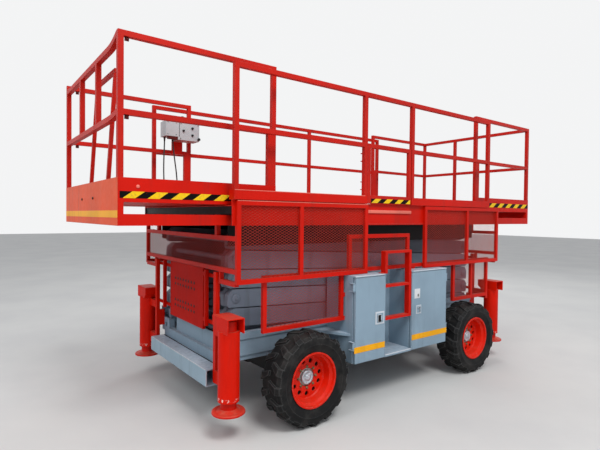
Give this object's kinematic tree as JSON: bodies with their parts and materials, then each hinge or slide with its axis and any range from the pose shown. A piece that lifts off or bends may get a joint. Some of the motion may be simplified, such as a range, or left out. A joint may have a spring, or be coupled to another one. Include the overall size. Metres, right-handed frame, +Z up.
{
  "type": "rough terrain scissor lift",
  "caption": "Self-propelled rough terrain scissor lift with twin extension decks, outriggers, side cabinets and mesh guards, stowed.",
  "frame": {"origin": "on the ground under the middle of the machine's overall length and width", "axes": "+X towards the steered front end, +Y to the machine's left, the ladder side, +Z up"},
  "size_m": [5.396, 2.34, 2.921],
  "materials": {
    "red_paint": "satin",
    "blue_grey_paint": "satin",
    "arm_paint": "satin",
    "dark_metal": "satin",
    "rod_chrome": "polished",
    "tyre": "matte",
    "box_grey": "satin",
    "cable_rubber": "matte"
  },
  "bodies": {
    "chassis": {"chassis_frame": "blue_grey_paint", "bumpers": "blue_grey_paint", "front_axle": "dark_metal", "rear_axle": "dark_metal", "outrigger_housings": "red_paint", "cabinet_left": "blue_grey_paint", "cabinet_right": "blue_grey_paint", "ladder": "red_paint", "chassis_guards": "red_paint", "chassis_guard_mesh": "red_paint", "end_screens": "red_paint", "engine_block": "dark_metal"},
    "platform": {"platform_deck": "red_paint", "platform_rails": "red_paint", "platform_guards": "red_paint", "platform_guard_mesh": "red_paint"},
    "front_extension": {"front_extension_deck": "red_paint", "front_extension_rails": "red_paint", "hoop": "red_paint", "control_box": "box_grey", "floor_glands": "cable_rubber", "control_cables": "cable_rubber"},
    "rear_extension": {"rear_extension_deck": "red_paint", "rear_extension_rails": "red_paint"},
    "gate": {"gate": "red_paint"},
    "knuckle_left": {"knuckle_left": "dark_metal"},
    "knuckle_right": {"knuckle_right": "dark_metal"},
    "wheel_front_left": {"tyre_front_left": "tyre", "rim_front_left": "red_paint"},
    "jack_front_left": {"jack_leg_front_left": "red_paint"},
    "wheel_front_right": {"tyre_front_right": "tyre", "rim_front_right": "red_paint"},
    "jack_front_right": {"jack_leg_front_right": "red_paint"},
    "wheel_rear_left": {"tyre_rear_left": "tyre", "rim_rear_left": "red_paint"},
    "jack_rear_left": {"jack_leg_rear_left": "red_paint"},
    "wheel_rear_right": {"tyre_rear_right": "tyre", "rim_rear_right": "red_paint"},
    "jack_rear_right": {"jack_leg_rear_right": "red_paint"},
    "door_left_front": {"door_left_front": "blue_grey_paint"},
    "door_left_rear": {"door_left_rear": "blue_grey_paint"},
    "door_right_front": {"door_right_front": "blue_grey_paint"},
    "door_right_rear": {"door_right_rear": "blue_grey_paint"},
    "outer_1": {"outer_arm_1": "arm_paint"},
    "inner_1": {"inner_arm_1": "arm_paint"},
    "outer_2": {"outer_arm_2": "arm_paint"},
    "inner_2": {"inner_arm_2": "arm_paint"},
    "outer_3": {"outer_arm_3": "arm_paint"},
    "inner_3": {"inner_arm_3": "arm_paint"},
    "outer_4": {"outer_arm_4": "arm_paint"},
    "inner_4": {"inner_arm_4": "arm_paint"},
    "outer_5": {"outer_arm_5": "arm_paint"},
    "inner_5": {"inner_arm_5": "arm_paint"},
    "barrel_lower": {"lift_barrel_lower": "dark_metal"},
    "rod_lower": {"lift_rod_lower": "rod_chrome"},
    "barrel_upper": {"lift_barrel_upper": "dark_metal"},
    "rod_upper": {"lift_rod_upper": "rod_chrome"}
  },
  "joints": [
    {"name": "steer_left", "type": "hinge", "parent": "chassis", "child": "knuckle_left", "pos_m": [1.241, 0.83, 0.38], "axis": [0, 0, 1], "range_deg": [-28, 28]},
    {"name": "steer_right", "type": "hinge", "parent": "chassis", "child": "knuckle_right", "pos_m": [1.241, -0.83, 0.38], "axis": [0, 0, 1], "range_deg": [-28, 28]},
    {"name": "spin_front_left", "type": "hinge", "parent": "knuckle_left", "child": "wheel_front_left", "pos_m": [1.241, 1.038, 0.38], "axis": [0, 1, 0], "continuous": true},
    {"name": "jack_down_front_left", "type": "slide", "parent": "chassis", "child": "jack_front_left", "axis": [0, 0, -1], "range_m": [0, 0.4]},
    {"name": "spin_front_right", "type": "hinge", "parent": "knuckle_right", "child": "wheel_front_right", "pos_m": [1.241, -1.038, 0.38], "axis": [0, 1, 0], "continuous": true},
    {"name": "jack_down_front_right", "type": "slide", "parent": "chassis", "child": "jack_front_right", "axis": [0, 0, -1], "range_m": [0, 0.4]},
    {"name": "spin_rear_left", "type": "hinge", "parent": "chassis", "child": "wheel_rear_left", "pos_m": [-1.025, 1.038, 0.38], "axis": [0, 1, 0], "continuous": true},
    {"name": "jack_down_rear_left", "type": "slide", "parent": "chassis", "child": "jack_rear_left", "axis": [0, 0, -1], "range_m": [0, 0.4]},
    {"name": "spin_rear_right", "type": "hinge", "parent": "chassis", "child": "wheel_rear_right", "pos_m": [-1.025, -1.038, 0.38], "axis": [0, 1, 0], "continuous": true},
    {"name": "jack_down_rear_right", "type": "slide", "parent": "chassis", "child": "jack_rear_right", "axis": [0, 0, -1], "range_m": [0, 0.4]},
    {"name": "swing_left_front", "type": "hinge", "parent": "chassis", "child": "door_left_front", "pos_m": [0.765, 1.0925, 0.8], "axis": [0, 0, -1], "range_deg": [0, 105]},
    {"name": "swing_left_rear", "type": "hinge", "parent": "chassis", "child": "door_left_rear", "pos_m": [-0.57, 1.0925, 0.8], "axis": [0, 0, 1], "range_deg": [0, 105]},
    {"name": "swing_right_front", "type": "hinge", "parent": "chassis", "child": "door_right_front", "pos_m": [0.765, -1.0925, 0.8], "axis": [0, 0, 1], "range_deg": [0, 105]},
    {"name": "swing_right_rear", "type": "hinge", "parent": "chassis", "child": "door_right_rear", "pos_m": [-0.57, -1.0925, 0.8], "axis": [0, 0, -1], "range_deg": [0, 105]},
    {"name": "lift", "type": "hinge", "parent": "chassis", "child": "outer_1", "pos_m": [-1.492, 0, 0.7], "axis": [0, -1, 0], "range_deg": [0, 60]},
    {"name": "pin_inner_2", "type": "hinge", "parent": "outer_1", "child": "inner_2", "pos_m": [1.704, 0, 0.86], "axis": [0, -1, 0], "range_deg": [-120, 0]},
    {"name": "pin_outer_3", "type": "hinge", "parent": "inner_2", "child": "outer_3", "pos_m": [-1.492, 0, 1.02], "axis": [0, -1, 0], "range_deg": [0, 120]},
    {"name": "pin_inner_4", "type": "hinge", "parent": "outer_3", "child": "inner_4", "pos_m": [1.704, 0, 1.18], "axis": [0, -1, 0], "range_deg": [-120, 0]},
    {"name": "pin_outer_5", "type": "hinge", "parent": "inner_4", "child": "outer_5", "pos_m": [-1.492, 0, 1.34], "axis": [0, -1, 0], "range_deg": [0, 120]},
    {"name": "cross_1", "type": "hinge", "parent": "outer_1", "child": "inner_1", "pos_m": [0.106, 0, 0.78], "axis": [0, -1, 0], "range_deg": [-120, 0]},
    {"name": "cross_2", "type": "hinge", "parent": "inner_2", "child": "outer_2", "pos_m": [0.106, 0, 0.94], "axis": [0, -1, 0], "range_deg": [0, 120]},
    {"name": "cross_3", "type": "hinge", "parent": "outer_3", "child": "inner_3", "pos_m": [0.106, 0, 1.1], "axis": [0, -1, 0], "range_deg": [-120, 0]},
    {"name": "cross_4", "type": "hinge", "parent": "inner_4", "child": "outer_4", "pos_m": [0.106, 0, 1.26], "axis": [0, -1, 0], "range_deg": [0, 120]},
    {"name": "cross_5", "type": "hinge", "parent": "outer_5", "child": "inner_5", "pos_m": [0.106, 0, 1.42], "axis": [0, -1, 0], "range_deg": [-120, 0]},
    {"name": "platform_level", "type": "hinge", "parent": "inner_5", "child": "platform", "pos_m": [-1.492, 0, 1.5], "axis": [0, -1, 0], "range_deg": [0, 60]},
    {"name": "cylinder_foot_lower", "type": "hinge", "parent": "inner_1", "child": "barrel_lower", "pos_m": [-0.0538, 0, 0.788], "axis": [0, -1, 0], "range_deg": [0, 133.44]},
    {"name": "cylinder_rod_lower", "type": "slide", "parent": "barrel_lower", "child": "rod_lower", "axis": [0.9999, 0, 0.0109], "range_m": [0, 0.54696]},
    {"name": "cylinder_foot_upper", "type": "hinge", "parent": "inner_3", "child": "barrel_upper", "pos_m": [-0.0538, 0, 1.108], "axis": [0, -1, 0], "range_deg": [0, 133.44]},
    {"name": "cylinder_rod_upper", "type": "slide", "parent": "barrel_upper", "child": "rod_upper", "axis": [0.9999, 0, 0.0109], "range_m": [0, 0.54696]},
    {"name": "slide_front_extension", "type": "slide", "parent": "platform", "child": "front_extension", "axis": [1, 0, 0], "range_m": [-0.745, 0.25]},
    {"name": "slide_rear_extension", "type": "slide", "parent": "platform", "child": "rear_extension", "axis": [-1, 0, 0], "range_m": [-0.94, 0.05]},
    {"name": "gate_swing", "type": "hinge", "parent": "platform", "child": "gate", "pos_m": [0.523, 0.964, 2.1], "axis": [0, 0, 1], "range_deg": [0, 90]}
  ],
  "couplings": [
    {"joint": "steer_right", "follows": "steer_left", "ratio": 1},
    {"joint": "pin_inner_2", "follows": "lift", "ratio": -2},
    {"joint": "pin_outer_3", "follows": "lift", "ratio": 2},
    {"joint": "pin_inner_4", "follows": "lift", "ratio": -2},
    {"joint": "pin_outer_5", "follows": "lift", "ratio": 2},
    {"joint": "cross_1", "follows": "lift", "ratio": -2},
    {"joint": "cross_2", "follows": "lift", "ratio": 2},
    {"joint": "cross_3", "follows": "lift", "ratio": -2},
    {"joint": "cross_4", "follows": "lift", "ratio": 2},
    {"joint": "cross_5", "follows": "lift", "ratio": -2},
    {"joint": "platform_level", "follows": "lift", "ratio": 1},
    {"joint": "cylinder_foot_lower", "follows": "lift", "ratio": 2.2238},
    {"joint": "cylinder_rod_lower", "follows": "lift", "m_per_rad": 0.52212},
    {"joint": "cylinder_foot_upper", "follows": "lift", "ratio": 2.2238},
    {"joint": "cylinder_rod_upper", "follows": "lift", "m_per_rad": 0.52212}
  ]
}
